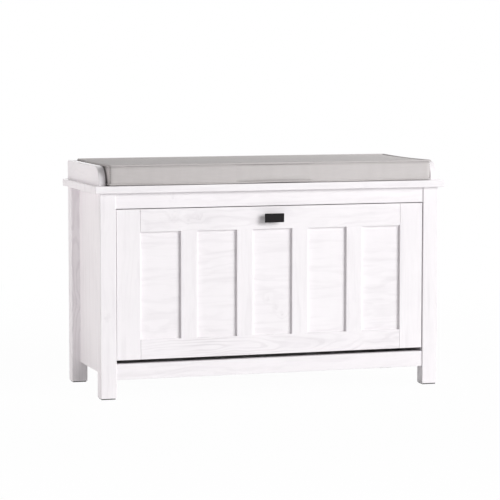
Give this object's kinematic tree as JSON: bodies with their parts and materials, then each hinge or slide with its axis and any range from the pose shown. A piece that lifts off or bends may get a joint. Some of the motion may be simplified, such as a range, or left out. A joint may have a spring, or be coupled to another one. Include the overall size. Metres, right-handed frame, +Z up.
{
  "type": "shoe storage bench",
  "caption": "Low seat bench with a loose padded cushion over a shoe cabinet, whose panelled front flap tips out with a tiered rack inside.",
  "frame": {"origin": "on the floor, under the middle of the box that holds the whole bench", "axes": "+X to the bench's right seen from its front, +Y to its back, +Z up"},
  "size_m": [0.928, 0.361, 0.5875],
  "materials": {
    "white_wood": "white lacquer over brushed grain, satin",
    "white_board": "smooth white foil, satin",
    "hardboard": "raw pressed fibre, matt",
    "dowel_wood": "raw beech, matt",
    "black_metal": "black powder coat, satin",
    "steel": "zinc plated",
    "magnet": "nickel plated",
    "white_plastic": "moulded, matt",
    "dark_plastic": "moulded, matt",
    "cushion_fabric": "plain woven cloth, matt"
  },
  "bodies": {
    "carcass": {"arm_left": "white_wood", "arm_right": "white_wood", "arm_screws": "steel", "back_bottom_rail": "white_wood", "back_glide_left": "dark_plastic", "back_glide_right": "dark_plastic", "back_leg_left": "white_wood", "back_leg_right": "white_wood", "back_panel": "hardboard", "back_panel_nails": "steel", "back_top_rail": "white_wood", "back_upstand": "white_wood", "board_dowels": "dowel_wood", "cam_bolts": "steel", "cam_locks": "steel", "catch_housing": "white_plastic", "catch_magnet": "magnet", "catch_screws": "steel", "floor_dowels": "dowel_wood", "floor_panel": "white_board", "front_bottom_rail": "white_wood", "front_glide_left": "dark_plastic", "front_glide_right": "dark_plastic", "front_leg_left": "white_wood", "front_leg_right": "white_wood", "front_top_rail": "white_wood", "pivot_bush_left": "white_plastic", "pivot_bush_right": "white_plastic", "rail_dowels": "dowel_wood", "side_dowels": "dowel_wood", "side_panel_left": "white_wood", "side_panel_right": "white_wood", "stop_pin_left": "steel", "stop_pin_right": "steel", "top_board": "white_wood"},
    "flap": {"cheek_dowels": "dowel_wood", "flap_bottom_rail": "white_wood", "flap_knob": "black_metal", "flap_panel": "white_wood", "flap_stile_left": "white_wood", "flap_stile_right": "white_wood", "flap_top_rail": "white_wood", "knob_screw": "steel", "muntin_1": "white_wood", "muntin_2": "white_wood", "muntin_3": "white_wood", "muntin_4": "white_wood", "pivot_pin_left": "steel", "pivot_pin_right": "steel", "rack_back_lower": "white_board", "rack_back_upper": "white_board", "rack_cheek_left": "white_board", "rack_cheek_right": "white_board", "rack_screws": "steel", "rack_tray_lower": "white_board", "rack_tray_upper": "white_board", "strike_plate": "steel", "strike_screws": "steel"},
    "cushion": {"cushion": "cushion_fabric"}
  },
  "joints": [
    {"name": "flap_tilt", "type": "hinge", "parent": "carcass", "child": "flap", "pos_m": [0, -0.1485, 0.112], "axis": [1, 0, 0], "range_deg": [0, 40]},
    {"name": "cushion_lift", "type": "slide", "parent": "carcass", "child": "cushion", "axis": [0, 0, 1], "range_m": [0, 0.12]}
  ]
}
